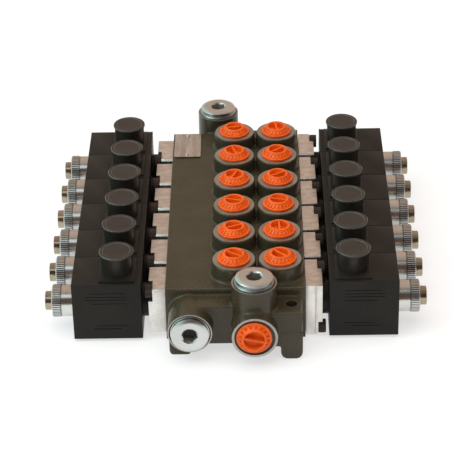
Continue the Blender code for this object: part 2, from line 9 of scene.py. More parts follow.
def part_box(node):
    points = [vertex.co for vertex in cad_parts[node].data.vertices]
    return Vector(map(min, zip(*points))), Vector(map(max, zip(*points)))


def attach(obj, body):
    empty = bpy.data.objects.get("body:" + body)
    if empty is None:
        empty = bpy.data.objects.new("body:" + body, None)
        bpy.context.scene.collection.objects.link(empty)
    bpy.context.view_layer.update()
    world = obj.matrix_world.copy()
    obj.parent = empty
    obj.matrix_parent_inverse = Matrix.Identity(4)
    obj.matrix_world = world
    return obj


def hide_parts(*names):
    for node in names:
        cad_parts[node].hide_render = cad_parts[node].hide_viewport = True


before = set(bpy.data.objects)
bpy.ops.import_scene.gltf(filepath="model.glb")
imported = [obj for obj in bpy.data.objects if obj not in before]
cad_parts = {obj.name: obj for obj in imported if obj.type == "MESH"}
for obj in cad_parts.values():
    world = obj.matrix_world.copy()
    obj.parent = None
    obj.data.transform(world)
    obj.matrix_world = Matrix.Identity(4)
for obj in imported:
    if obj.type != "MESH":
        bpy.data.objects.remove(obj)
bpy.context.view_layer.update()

# The valve body is one iron casting, painted dark all over and then machined: the port faces and the
# sides where the end housings seat are bare iron. Twelve bosses stand on its deck, three at the inlet
# end and one on the lower ledge at the rear, and it stands on four feet.
# Its places along Y are measured from the middle of its length.
SECTIONS = 6
VOXEL = 0.00075
DECK = ((-0.0515, -0.1162, 0.0028), (0.0515, 0.1145, 0.0450))
DECK_TAIL = ((-0.0140, 0.0900, 0.0028), (0.0515, 0.1192, 0.0450))
PASSAGE = ((-0.0471, -0.1315, 0.0088), (0.0135, -0.1100, 0.0400))
PAD = ((0.0195, -0.1385, 0.0102), (0.04675, -0.1100, 0.0383))
LEDGE = ((-0.0471, 0.1100, 0.0088), (0.0471, 0.1490, 0.0265))
FEET = (((-0.04725, -0.1320, -0.0006), (-0.03175, -0.1080, 0.0148), 0.0028),
        ((0.03175, -0.1390, -0.0006), (0.04725, -0.1150, 0.0220), 0.0050),
        ((-0.04725, 0.1245, -0.0006), (-0.03175, 0.1485, 0.0148), 0.0050),
        ((0.03175, 0.1245, -0.0006), (0.04725, 0.1485, 0.0148), 0.0050))
PASSAGE_CORNER = 0.0130
PASSAGE_EDGE = 0.0016
LEDGE_CORNER = 0.0070
FOOT_FRONT_EDGE = 0.0018
PORT_FACE = 0.0566
BOSS_RADIUS = 0.0160
INLET_RADIUS = 0.0161
TANK_RADIUS = 0.0157
MACHINING_STOCK = 0.0022
TANK_FACE = -0.1423
SIDE_FACE = 0.0496
RECESS = 0.0012
RECESS_RADIUS = 0.0147
INLET_RECESS_RADIUS = 0.0144
TANK_SUNK = 0.0018
SPOOL_BORE = 0.0080
WORK_PORT = 0.0084
WORK_PORT_DEPTH = 0.0130
END_PORT = 0.0104
END_PORT_DEPTH = 0.0140
PAST_CASTING = 0.16
MOUNTING_HOLE = 0.00425
MOUNTING_HOLES = ((0.0395, -0.1260), (0.0395, 0.1418), (-0.0395, 0.1418))

body_low, body_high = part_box("valve_body")
middle = (body_low.y + body_high.y) / 2
inlet_face = body_low.y - middle


def centre_of(node):
    low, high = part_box(node)
    return (low + high) / 2


section_y = [centre_of(f"spool_{number}").y for number in range(1, SECTIONS + 1)]
spool_z = centre_of("spool_1").z
PORT_X = (centre_of("work_port_plug_a1").x, centre_of("work_port_plug_b1").x)
INLET = (centre_of("pressure_port_plug").x, centre_of("pressure_port_plug").z)
TANK = (centre_of("tank_port_plug").x, centre_of("tank_port_plug").z)
RELIEF = (centre_of("relief_port_plug").x, centre_of("relief_port_plug").y - middle)
OUTLET = (centre_of("outlet_port_plug").x, centre_of("outlet_port_plug").y - middle)


def only(obj):
    bpy.ops.object.select_all(action="DESELECT")
    obj.select_set(True)
    bpy.context.view_layer.objects.active = obj
    return obj


def placed(obj, turn=0.0, about="Z", at=(0.0, 0.0, 0.0)):
    """Turns a piece about one axis, moves it and puts its place in its mesh."""
    only(obj)
    obj.matrix_world = Matrix.Translation(at) @ Matrix.Rotation(turn, 4, about) @ obj.matrix_world
    bpy.ops.object.transform_apply(location=True, rotation=True, scale=True)
    return obj


def block(low, high):
    bpy.ops.object.select_all(action="DESELECT")
    low, high = Vector(low), Vector(high)
    bpy.ops.mesh.primitive_cube_add(size=1.0, location=(low + high) / 2)
    obj = bpy.context.object
    obj.scale = high - low
    return placed(obj)


def rounded_edges(obj, chosen, radius, segments=4):
    """Rounds the edges whose two ends both pass the test, in edit mode."""
    only(obj)
    bpy.ops.object.mode_set(mode="EDIT")
    bpy.ops.mesh.select_all(action="DESELECT")
    bpy.ops.mesh.select_mode(type="EDGE")
    shape = bmesh.from_edit_mesh(obj.data)
    for edge in shape.edges:
        if chosen(*(vert.co for vert in edge.verts)):
            edge.select_set(True)
    bmesh.update_edit_mesh(obj.data)
    bpy.ops.mesh.bevel(offset=radius, segments=segments, affect="EDGES")
    bpy.ops.mesh.select_mode(type="VERT")
    bpy.ops.object.mode_set(mode="OBJECT")
    return obj


def turned(profile, sides=48):
    """A disc is drawn along a profile of (radius, height) pairs, ring by ring, as on a lathe."""
    radius, height = profile[0]
    bpy.ops.object.select_all(action="DESELECT")
    bpy.ops.mesh.primitive_circle_add(vertices=sides, radius=radius, fill_type="NGON",
                                      location=(0, 0, height))
    obj = placed(bpy.context.object)
    bpy.ops.object.mode_set(mode="EDIT")
    bpy.ops.mesh.select_all(action="SELECT")
    for next_radius, next_height in profile[1:]:
        bpy.ops.mesh.extrude_region_move(
            TRANSFORM_OT_translate={"value": (0, 0, next_height - height)})
        grow = next_radius / radius
        bpy.ops.transform.resize(value=(grow, grow, 1), center_override=(0, 0, next_height))
        radius, height = next_radius, next_height
    bpy.ops.mesh.select_all(action="SELECT")
    bpy.ops.mesh.normals_make_consistent(inside=False)
    bpy.ops.object.mode_set(mode="OBJECT")
    return obj


def joined(pieces, name):
    bpy.ops.object.select_all(action="DESELECT")
    for piece in pieces:
        piece.select_set(True)
    bpy.context.view_layer.objects.active = pieces[0]
    bpy.ops.object.join()
    bpy.context.object.name = name
    return bpy.context.object


def modified(obj, kind, **settings):
    """Adds a modifier with its settings and applies it."""
    only(obj)
    modifier = obj.modifiers.new(kind.title(), kind)
    for setting, value in settings.items():
        setattr(modifier, setting, value)
    bpy.ops.object.modifier_apply(modifier=modifier.name)
    return obj


def combined(obj, other, operation):
    """Cuts another shape out of a piece or fuses it on, and removes the other shape."""
    modified(obj, "BOOLEAN", operation=operation, solver="MANIFOLD", object=other)
    bpy.data.objects.remove(other)
    return obj


def marked(obj, centre=lambda place: (0, 0, 0)):
    """Keeps each corner's place from the centre it was turned about, for the turning marks."""
    kept = obj.data.attributes.new("place", "FLOAT_VECTOR", "POINT")
    for vert, value in zip(obj.data.vertices, kept.data):
        value.vector = vert.co - Vector(centre(vert.co))
    return obj


cast = [block(*DECK), block(*DECK_TAIL), block(*PAD)]
hump = block(*PASSAGE)
front_y = PASSAGE[0][1] + 0.0001
rounded_edges(hump, lambda a, b: max(a.x, b.x) < -0.04 and min(a.z, b.z) > 0.03, PASSAGE_CORNER, 10)
rounded_edges(hump, lambda a, b: max(a.y, b.y) < front_y and min(a.z, b.z) > 0.0265, PASSAGE_EDGE, 3)
ledge = block(*LEDGE)
rounded_edges(ledge, lambda a, b: min(a.z, b.z) > 0.02 and abs(a.x - b.x) < 0.01, LEDGE_CORNER, 6)
cast += [hump, ledge]
for foot_low, foot_high, corner in FEET:
    foot = block(foot_low, foot_high)
    low_edge = foot_low[2] + 0.001
    rounded_edges(foot, lambda a, b: max(a.z, b.z) < low_edge and abs(a.x - b.x) < 0.01, corner, 5)
    rounded_edges(foot, lambda a, b: max(a.z, b.z) < 0.006 and abs(a.y - b.y) < 0.0001
                  and max(a.y, b.y) < 0, FOOT_FRONT_EDGE, 3)
    cast.append(foot)
deck_top = DECK[1][2]
for x in PORT_X:
    for y in section_y:
        boss = turned([(BOSS_RADIUS + 0.0011, deck_top - 0.0030),
                       (BOSS_RADIUS + 0.0011, deck_top + 0.0001),
                       (BOSS_RADIUS + 0.0003, deck_top + 0.0005), (BOSS_RADIUS, deck_top + 0.0018),
                       (BOSS_RADIUS - 0.0001, PORT_FACE - 0.0010),
                       (BOSS_RADIUS - 0.0011, PORT_FACE + 0.0004)], 64)
        cast.append(placed(boss, at=(x, y - middle, 0)))
relief = turned([(BOSS_RADIUS, 0.0240), (BOSS_RADIUS, PORT_FACE + MACHINING_STOCK)], 72)
cast.append(placed(relief, at=(*RELIEF, 0)))
outlet = turned([(BOSS_RADIUS, 0.0140), (BOSS_RADIUS, deck_top + 0.0002),
                 (BOSS_RADIUS - 0.0001, PORT_FACE + MACHINING_STOCK)], 72)
cast.append(placed(outlet, at=(*OUTLET, 0)))
inlet = turned([(INLET_RADIUS, 0.1080), (INLET_RADIUS, MACHINING_STOCK - inlet_face)], 72)
cast.append(placed(inlet, pi / 2, "X", (INLET[0], 0, INLET[1])))
tank = turned([(TANK_RADIUS, 0.1080), (TANK_RADIUS, MACHINING_STOCK - TANK_FACE)], 72)
cast.append(placed(tank, pi / 2, "X", (TANK[0], 0, TANK[1])))

casting = joined(cast, "valve_casting")
modified(casting, "REMESH", mode="VOXEL", voxel_size=VOXEL)
modified(casting, "SMOOTH", factor=0.5, iterations=3)
modified(casting, "DECIMATE", ratio=0.22)

mills = [block((-0.0485, -PAST_CASTING, PORT_FACE), (0.0485, PAST_CASTING, 0.0700)),
         block((-0.0490, -PAST_CASTING, -0.0100), (0.0490, PAST_CASTING, 0.0)),
         block((-0.0600, -PAST_CASTING, -0.0050), (-SIDE_FACE, PAST_CASTING, 0.0560)),
         block((SIDE_FACE, -PAST_CASTING, -0.0050), (0.0600, PAST_CASTING, 0.0560)),
         block((-0.0040, -PAST_CASTING - 0.01, 0.0010), (0.0400, inlet_face, 0.0500)),
         block((-0.0494, -PAST_CASTING - 0.01, 0.0010), (-0.0050, TANK_FACE, 0.0500))]
combined(casting, joined(mills, "mills"), "DIFFERENCE")

drills = []
for y in section_y:
    bore = turned([(SPOOL_BORE, -0.06), (SPOOL_BORE, 0.06)])
    drills.append(placed(bore, pi / 2, "Y", (0, y - middle, spool_z)))
for x in PORT_X:
    for y in section_y:
        bore = turned([(WORK_PORT, PORT_FACE - WORK_PORT_DEPTH), (WORK_PORT, 0.06)])
        drills.append(placed(bore, at=(x, y - middle, 0)))
for place in (RELIEF, OUTLET):
    bore = turned([(END_PORT, PORT_FACE - END_PORT_DEPTH), (END_PORT, PORT_FACE - RECESS),
                   (RECESS_RADIUS, PORT_FACE - RECESS), (RECESS_RADIUS, 0.06)], 72)
    drills.append(placed(bore, at=(*place, 0)))
for place in MOUNTING_HOLES:
    bore = turned([(MOUNTING_HOLE, -0.01), (MOUNTING_HOLE, 0.06)], 32)
    drills.append(placed(bore, at=(*place, 0)))
for (x, z), face_y, recess_radius in ((INLET, inlet_face, INLET_RECESS_RADIUS),
                                      (TANK, TANK_FACE + TANK_SUNK, RECESS_RADIUS)):
    recess_floor = -face_y - RECESS
    bore = turned([(END_PORT, recess_floor - END_PORT_DEPTH), (END_PORT, recess_floor),
                   (recess_radius, recess_floor), (recess_radius, PAST_CASTING)], 72)
    drills.append(placed(bore, pi / 2, "X", (x, 0, z)))
combined(casting, joined(drills, "drills"), "DIFFERENCE")
placed(casting, at=(0, middle, 0))


def noise_group():
    """Soft patches or fine grain from one noise, stretched along each axis by its own scale."""
    group = bpy.data.node_groups.new("patches_and_grain", "ShaderNodeTree")
    scale = group.interface.new_socket("Scale", in_out="INPUT", socket_type="NodeSocketVector")
    scale.default_value = (100, 100, 100)
    group.interface.new_socket("Mask", in_out="OUTPUT", socket_type="NodeSocketFloat")
    nodes, links = group.nodes, group.links
    entry = nodes.new("NodeGroupInput")
    place = nodes.new("ShaderNodeTexCoord")
    stretch = nodes.new("ShaderNodeVectorMath")
    stretch.operation = "MULTIPLY"
    noise = nodes.new("ShaderNodeTexNoise")
    noise.inputs["Scale"].default_value = 1.0
    noise.inputs["Detail"].default_value = 3.0
    spread = nodes.new("ShaderNodeMapRange")
    spread.inputs["From Min"].default_value = 0.35
    spread.inputs["From Max"].default_value = 0.65
    leave = nodes.new("NodeGroupOutput")
    links.new(place.outputs["Object"], stretch.inputs[0])
    links.new(entry.outputs["Scale"], stretch.inputs[1])
    links.new(stretch.outputs["Vector"], noise.inputs["Vector"])
    links.new(noise.outputs["Fac"], spread.inputs["Value"])
    links.new(spread.outputs["Result"], leave.inputs["Mask"])
    return group


def edge_group():
    """A mask that is bright along sharp edges, for an edge colour that is partly wear and partly a painted
    highlight.
    """
    group = bpy.data.node_groups.new("edge_wear_and_sheen", "ShaderNodeTree")
    reach = group.interface.new_socket("Radius", in_out="INPUT", socket_type="NodeSocketFloat")
    reach.default_value = 0.0005
    group.interface.new_socket("Mask", in_out="OUTPUT", socket_type="NodeSocketFloat")
    nodes, links = group.nodes, group.links
    entry = nodes.new("NodeGroupInput")
    rounded = nodes.new("ShaderNodeBevel")
    rounded.samples = 4
    links.new(entry.outputs["Radius"], rounded.inputs["Radius"])
    flat = nodes.new("ShaderNodeNewGeometry")
    alike = nodes.new("ShaderNodeVectorMath")
    alike.operation = "DOT_PRODUCT"
    spread = nodes.new("ShaderNodeMapRange")
    spread.inputs["From Min"].default_value = 0.995
    spread.inputs["From Max"].default_value = 0.90
    leave = nodes.new("NodeGroupOutput")
    links.new(rounded.outputs["Normal"], alike.inputs[0])
    links.new(flat.outputs["Normal"], alike.inputs[1])
    links.new(alike.outputs["Value"], spread.inputs["Value"])
    links.new(spread.outputs["Result"], leave.inputs["Mask"])
    return group


def turning_group():
    """Fine rings round a piece's own axis, as a lathe tool or a cutter leaves them."""
    group = bpy.data.node_groups.new("turning_marks", "ShaderNodeTree")
    group.interface.new_socket("Mask", in_out="OUTPUT", socket_type="NodeSocketFloat")
    nodes, links = group.nodes, group.links
    place = nodes.new("ShaderNodeAttribute")
    place.attribute_name = "place"
    across = nodes.new("ShaderNodeVectorMath")
    across.operation = "MULTIPLY"
    across.inputs[1].default_value = (1, 1, 0)
    radius = nodes.new("ShaderNodeVectorMath")
    radius.operation = "LENGTH"
    split = nodes.new("ShaderNodeSeparateXYZ")
    path = nodes.new("ShaderNodeMath")
    path.operation = "ADD"
    rings = nodes.new("ShaderNodeTexNoise")
    rings.noise_dimensions = "1D"
    rings.inputs["Scale"].default_value = 2200.0
    rings.inputs["Detail"].default_value = 4.0
    leave = nodes.new("NodeGroupOutput")
    links.new(place.outputs["Vector"], across.inputs[0])
    links.new(across.outputs["Vector"], radius.inputs[0])
    links.new(place.outputs["Vector"], split.inputs["Vector"])
    links.new(radius.outputs["Value"], path.inputs[0])
    links.new(split.outputs["Z"], path.inputs[1])
    links.new(path.outputs["Value"], rings.inputs["W"])
    links.new(rings.outputs["Fac"], leave.inputs["Mask"])
    return group


patches_and_grain = noise_group()
edge_wear_and_sheen = edge_group()
turning_marks = turning_group()


def surface(name, dark, light, roughness, metallic=0.0, patches=(70, 70, 70), grain=(1500, 1500, 1500),
            depth=0.00002, specular=0.5, edge=None, reach=0.0005, marks=0.0):
    """A finish whose colour and gloss drift in soft patches over a fine grain or turning marks."""
    material = bpy.data.materials.new(name)
    material.use_nodes = True
    nodes, links = material.node_tree.nodes, material.node_tree.links
    shader = nodes["Principled BSDF"]
    shader.inputs["Metallic"].default_value = metallic
    shader.inputs["Specular IOR Level"].default_value = specular
    broad = nodes.new("ShaderNodeGroup")
    broad.node_tree = patches_and_grain
    broad.inputs["Scale"].default_value = patches
    fine = nodes.new("ShaderNodeGroup")
    fine.node_tree = patches_and_grain
    fine.inputs["Scale"].default_value = grain
    texture = fine.outputs["Mask"]
    if marks:
        turning = nodes.new("ShaderNodeGroup")
        turning.node_tree = turning_marks
        texture = turning.outputs["Mask"]
    half = nodes.new("ShaderNodeMath")
    half.operation = "MULTIPLY"
    half.inputs[1].default_value = 0.65
    links.new(broad.outputs["Mask"], half.inputs[0])
    both = nodes.new("ShaderNodeMath")
    both.operation = "MULTIPLY_ADD"
    both.inputs[1].default_value = 0.35
    links.new(texture, both.inputs[0])
    links.new(half.outputs["Value"], both.inputs[2])
    colour = nodes.new("ShaderNodeMix")
    colour.data_type = "RGBA"
    colour.inputs["A"].default_value = (*dark, 1.0)
    colour.inputs["B"].default_value = (*light, 1.0)
    links.new(both.outputs["Value"], colour.inputs["Factor"])
    shown = colour.outputs["Result"]
    # Along sharp edges the colour turns to the edge colour: partly wear, partly a painted highlight.
    if edge:
        wear_and_sheen_mix = nodes.new("ShaderNodeMix")
        wear_and_sheen_mix.data_type = "RGBA"
        wear_and_sheen_mix.inputs["B"].default_value = (*edge, 1.0)
        mask = nodes.new("ShaderNodeGroup")
        mask.node_tree = edge_wear_and_sheen
        mask.inputs["Radius"].default_value = reach
        links.new(mask.outputs["Mask"], wear_and_sheen_mix.inputs["Factor"])
        links.new(shown, wear_and_sheen_mix.inputs["A"])
        shown = wear_and_sheen_mix.outputs["Result"]
    links.new(shown, shader.inputs["Base Color"])
    gloss = nodes.new("ShaderNodeMapRange")
    gloss.inputs["To Min"].default_value = roughness[0]
    gloss.inputs["To Max"].default_value = roughness[1]
    links.new(both.outputs["Value"], gloss.inputs["Value"])
    links.new(gloss.outputs["Result"], shader.inputs["Roughness"])
    bump = nodes.new("ShaderNodeBump")
    bump.inputs["Distance"].default_value = marks or depth
    links.new(texture, bump.inputs["Height"])
    links.new(bump.outputs["Normal"], shader.inputs["Normal"])
    return material


# The pale teal edge colour of the paint is mostly a painted highlight of the cool light from the left along
# edges and fillets, with some wear.
dark_paint = surface("dark_paint", (0.032, 0.025, 0.013), (0.047, 0.037, 0.021), (0.22, 0.31),
                     patches=(35, 35, 35), grain=(900, 900, 900), depth=0.00003, specular=0.36,
                     edge=(0.080, 0.095, 0.085), reach=0.0011)
bare_iron = surface("bare_iron", (0.34, 0.31, 0.28), (0.56, 0.52, 0.47), (0.46, 0.60), 1.0,
                    marks=0.000008)
casting.data.materials.clear()
casting.data.materials.append(dark_paint)
casting.data.materials.append(bare_iron)
# The floors and walls of the recesses round the ports are machined too but keep the dark paint: painted
# shade in the recesses.
for face in casting.data.polygons:
    centre, normal = face.center, face.normal
    y = centre.y - middle
    on_top = normal.z > 0.99 and centre.z > PORT_FACE - 0.0001
    on_side = abs(centre.x) > SIDE_FACE - 0.0001
    faces_front = normal.y < -0.99
    at_inlet = y < inlet_face + 0.0001 and faces_front and centre.x > 0
    at_tank = y < TANK_FACE + 0.0001 and faces_front and centre.x < 0
    face.material_index = 1 if on_top or on_side or at_tank or at_inlet else 0


def cutter_centre(place):
    """The middle of the machined port face that a corner of the casting lies on."""
    if place.z > PORT_FACE - 0.0001:
        centres = [(x, port_y, 0) for x in PORT_X for port_y in section_y]
        centres += [(x, end_y + middle, 0) for x, end_y in (RELIEF, OUTLET)]
        return min(centres, key=lambda centre: (Vector(centre) - place).xy.length)
    return (0, 0, 0)


marked(casting, cutter_centre)
only(casting)
bpy.ops.object.shade_smooth_by_angle(angle=radians(32))
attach(casting, "valve")
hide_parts("valve_body")


# The work ports and the pressure port are closed for transport by orange moulded plugs: a thin
# flange, a ribbed skirt up to a thick crest, and a recess crossed by a thin bar to grip.
CREST_HEIGHT = 0.0050
PLUG_GAP = 0.0001
TURNS_A = (-36, 24, -17, 68, 108, 10)
TURNS_B = (-46, 92, -16, 33, 40, 97)
INLET_TURN = -14


def copy_of(obj, name, turn=0.0, about="Z", at=(0.0, 0.0, 0.0)):
    """A copy with its own mesh, turned and moved to its place."""
    only(obj)
    bpy.ops.object.duplicate(linked=False)
    twin = bpy.context.object
    twin.name = name
    return placed(twin, turn, about, at)


def on_valve(obj, slot, *nodes):
    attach(obj, "valve")
    if nodes:
        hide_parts(*nodes)


def finished(obj, material, angle=30):
    """One material all over, and smooth shading up to the given angle."""
    obj.data.materials.clear()
    obj.data.materials.append(material)
    only(obj)
    bpy.ops.object.shade_smooth_by_angle(angle=radians(angle))
    return obj


def orange_plug(flange, step, crest, recess, ribs, rib_width, rib_foot):
    """Outer radii of the flange, the skirt's foot, the crest and its recess, then the ribs."""
    plug = turned([(0.0075, -0.0080), (0.0081, -0.0074), (0.0081, 0.0), (flange, 0.0), (flange, 0.0012),
                   (flange - 0.0003, 0.0015), (step, 0.0015), (crest + 0.0001, 0.0037), (crest, 0.0042),
                   (crest - 0.0003, 0.0047), (crest - 0.0008, CREST_HEIGHT),
                   (recess + 0.0004, CREST_HEIGHT), (recess, 0.0047),
                   (recess - 0.0003, 0.0008), (recess - 0.0007, 0.0004)], 64)
    modified(plug, "BEVEL", width=0.00014, segments=2, limit_method="ANGLE", angle_limit=radians(40))
    rib = block((crest - 0.0006, -rib_width / 2, 0.0010), (rib_foot, rib_width / 2, 0.0046))
    only(rib)
    bpy.ops.object.mode_set(mode="EDIT")
    bpy.ops.mesh.select_all(action="DESELECT")
    shape = bmesh.from_edit_mesh(rib.data)
    for vert in shape.verts:
        vert.select = vert.co.x > rib_foot - 0.0001 and vert.co.z > 0.003
    shape.select_flush(True)
    bmesh.update_edit_mesh(rib.data)
    bpy.ops.transform.translate(value=(0, 0, -0.0026))
    bpy.ops.mesh.select_all(action="SELECT")
    bpy.ops.mesh.spin(steps=ribs, angle=2 * pi, dupli=True, center=(0, 0, 0), axis=(0, 0, 1))
    bpy.ops.mesh.select_all(action="SELECT")
    bpy.ops.mesh.remove_doubles(threshold=0.000001)
    bpy.ops.mesh.normals_make_consistent(inside=False)
    bpy.ops.object.mode_set(mode="OBJECT")
    combined(plug, rib, "UNION")
    combined(plug, block((0.0002 - crest, -0.0007, 0.0002), (crest - 0.0003, 0.0007, 0.0046)), "UNION")
    return finished(plug, orange, 35)


orange = surface("orange_plastic", (0.61, 0.074, 0.003), (0.79, 0.112, 0.007), (0.30, 0.42),
                 patches=(150, 150, 150), grain=(2500, 2500, 2500), depth=0.000006, specular=0.3)
plug = orange_plug(flange=0.0116, step=0.0097, crest=0.0081, recess=0.0059,
                   ribs=22, rib_width=0.0015, rib_foot=0.0104)
for letter, x, turns in (("a", PORT_X[0], TURNS_A), ("b", PORT_X[1], TURNS_B)):
    for number, (y, turn) in enumerate(zip(section_y, turns), 1):
        twin = copy_of(plug, f"port_plug_{letter}{number}", radians(turn), "Z",
                       (x, y, PORT_FACE + PLUG_GAP))
        on_valve(twin, "plug_orange", f"work_port_plug_{letter}{number}")
bpy.data.objects.remove(plug)
plug = orange_plug(flange=0.0125, step=0.0093, crest=0.0089, recess=0.0073,
                   ribs=17, rib_width=0.0016, rib_foot=0.0109)
placed(plug, radians(INLET_TURN))
placed(plug, pi / 2, "X", (INLET[0] - 0.0004, body_low.y + RECESS - PLUG_GAP, INLET[1]))
plug.name = "inlet_plug"
on_valve(plug, "plug_orange", "pressure_port_plug")


# The tank port, the relief port and the outlet are closed by steel screw plugs: a zinc-plated
# head with a chamfered rim, a narrow groove over its sealing collar and a hexagon socket.
STEEL_HEAD = 0.0050
STEEL_RADIUS = 0.0134
COLLAR = 0.0143
SOCKET_RADIUS = 0.0058
STEEL_GAP = 0.0003
steel_plug = turned([(0.0090, -0.0100), (0.0101, -0.0090), (0.0101, -0.0010), (COLLAR, -0.0010),
                     (COLLAR, 0.0004), (COLLAR - 0.0005, 0.0011), (0.0131, 0.0012), (0.0131, 0.0015),
                     (STEEL_RADIUS - 0.0001, 0.0017), (STEEL_RADIUS, 0.0020),
                     (STEEL_RADIUS, STEEL_HEAD - 0.0012), (STEEL_RADIUS - 0.0003, STEEL_HEAD - 0.0009),
                     (0.0108, STEEL_HEAD - 0.0001), (0.0104, STEEL_HEAD), (0.0085, STEEL_HEAD)], 96)
countersink = turned([(0.0049, STEEL_HEAD - 0.0011), (0.0064, STEEL_HEAD + 0.0001)], 48)
combined(steel_plug, countersink, "DIFFERENCE")
socket = turned([(0.0020, STEEL_HEAD - 0.0074), (SOCKET_RADIUS, STEEL_HEAD - 0.0064),
                 (SOCKET_RADIUS, STEEL_HEAD + 0.001)], 6)
combined(steel_plug, socket, "DIFFERENCE")
marked(steel_plug)
zinc = surface("zinc_plate", (0.55, 0.57, 0.56), (0.70, 0.72, 0.71), (0.26, 0.36), 1.0,
               patches=(25, 25, 25), marks=0.000008)
# The side of the head and of the collar take a darker copy of the plating: painted shade.
plug_side_shade = surface("plug_side_shade", (0.24, 0.25, 0.25), (0.42, 0.43, 0.43), (0.30, 0.42), 1.0,
                      patches=(120, 120, 120), marks=0.000014)
# The socket's walls are darker than the plating and its floor near black: painted shade inside the socket.
socket_wall_shade = surface("socket_wall_shade_steel", (0.16, 0.14, 0.12), (0.30, 0.27, 0.24), (0.36, 0.48), 0.4)
socket_floor_shade = surface("socket_floor_shade_steel", (0.020, 0.016, 0.013), (0.040, 0.032, 0.026), (0.5, 0.6))
finished(steel_plug, zinc)
for metal in (plug_side_shade, socket_wall_shade, socket_floor_shade):
    steel_plug.data.materials.append(metal)
for face in steel_plug.data.polygons:
    out = Vector((face.center.x, face.center.y)).length
    if out > STEEL_RADIUS - 0.0004 and abs(face.normal.z) < 0.7:
        face.material_index = 1
    elif out < SOCKET_RADIUS + 0.0001 and face.center.z < STEEL_HEAD - 0.0060:
        face.material_index = 3
    elif out < SOCKET_RADIUS + 0.0001 and face.center.z < STEEL_HEAD - 0.0007:
        face.material_index = 2
for name, turn, (x, y) in (("relief", 0.3, RELIEF), ("outlet", 0.1, OUTLET)):
    twin = copy_of(steel_plug, f"{name}_plug", turn, "Z", (x, y + middle, PORT_FACE + STEEL_GAP))
    on_valve(twin, "bright_steel", f"{name}_port_plug")
placed(steel_plug, radians(18))
placed(steel_plug, pi / 2, "X", (TANK[0], TANK_FACE + TANK_SUNK + middle - STEEL_GAP, TANK[1]))
steel_plug.name = "tank_plug"
on_valve(steel_plug, "bright_steel", "tank_port_plug")


# The end housings close the spool bores: sawn and milled steel blocks, the right-hand ones taller,
# each stepped back at two opposite corners where its cap screws stand.
HOUSING_INNER = SIDE_FACE + 0.0003
HOUSING_OUTER = 0.0619
NOTCH_FLOOR = HOUSING_OUTER - 0.0030
HOUSING_BORE = 0.0098
HOUSINGS = (("left", pi, (0.0327, 0.0351), (0.0130, 0.0092), 0.0014),
            ("right", 0.0, (0.0348, 0.0418), (0.0125, 0.0106), 0.0005))
housing_metal = surface("milled_steel", (0.60, 0.57, 0.54), (0.90, 0.87, 0.84), (0.32, 0.44), 1.0,
                        patches=(140, 260, 90), grain=(300, 2600, 2600), depth=0.000012)


def end_housing(width, height, run, rise, chamfer):
    """Width and height of the plate, run and rise of its two notches, chamfer of its upper edges."""
    plate = block((HOUSING_INNER, -width / 2, -height / 2), (HOUSING_OUTER, width / 2, height / 2))
    rounded_edges(plate, lambda a, b: min(a.z, b.z) > 0 and min(a.y, b.y) * max(a.y, b.y) > 0, chamfer, 1)
    upper = block((NOTCH_FLOOR, width / 2 - run, height / 2 - rise),
                  (0.0700, width / 2 + 0.01, height / 2 + 0.01))
    rounded_edges(upper, lambda a, b: abs(a.x - b.x) > 0.001 and max(a.y, b.y) < width / 2
                  and max(a.z, b.z) < height / 2, 0.0015)
    lower = copy_of(upper, "lower_notch", pi, "X")
    combined(plate, joined([upper, lower], "notches"), "DIFFERENCE")
    bore = turned([(HOUSING_BORE, HOUSING_INNER - 0.01), (HOUSING_BORE, 0.0700)], 64)
    combined(plate, placed(bore, pi / 2, "Y"), "DIFFERENCE")
    saw_line = block((HOUSING_INNER + 0.0066, -width / 2 - 0.001, -height),
                     (HOUSING_INNER + 0.0070, 0.0003 - width / 2, height))
    combined(plate, saw_line, "DIFFERENCE")
    modified(plate, "BEVEL", width=0.0003, segments=2, limit_method="ANGLE", angle_limit=radians(50))
    return finished(plate, housing_metal)


for side, turn, outline, notch, chamfer in HOUSINGS:
    housing = end_housing(*outline, *notch, chamfer)
    for number, y in enumerate(section_y, 1):
        twin = copy_of(housing, f"housing_{side}_{number}", turn, "Z", (0, y, spool_z))
        on_valve(twin, "plate_steel", f"end_housing_{side}_{number}")
    bpy.data.objects.remove(housing)


# Each end housing is held to the body by two M6 socket cap screws that stand in its notches. They
# are blackened steel with a finely knurled head.
SCREW_TEETH = 28
SCREW_RADIUS = 0.0050
SCREW_HEAD = 0.0055
SCREW_SOCKET = 0.0029
SCREW_EDGE = 0.0057
SCREW_RIM = 0.0037


def knurled(obj, sides, spacing, first, chosen):
    """Pushes in every so many corners round a turned piece, where radius and height pass the test."""
    only(obj)
    bpy.ops.object.mode_set(mode="EDIT")
    bpy.ops.mesh.select_all(action="DESELECT")
    shape = bmesh.from_edit_mesh(obj.data)
    for vert in shape.verts:
        out = vert.co.xy
        step = round(out.angle_signed(Vector((1, 0)), 0.0) / (2 * pi) * sides)
        vert.select = step % spacing == first and chosen(out.length, vert.co.z)
    bmesh.update_edit_mesh(obj.data)
    bpy.ops.transform.resize(value=(0.95, 0.95, 1), center_override=(0, 0, 0))
    bpy.ops.object.mode_set(mode="OBJECT")


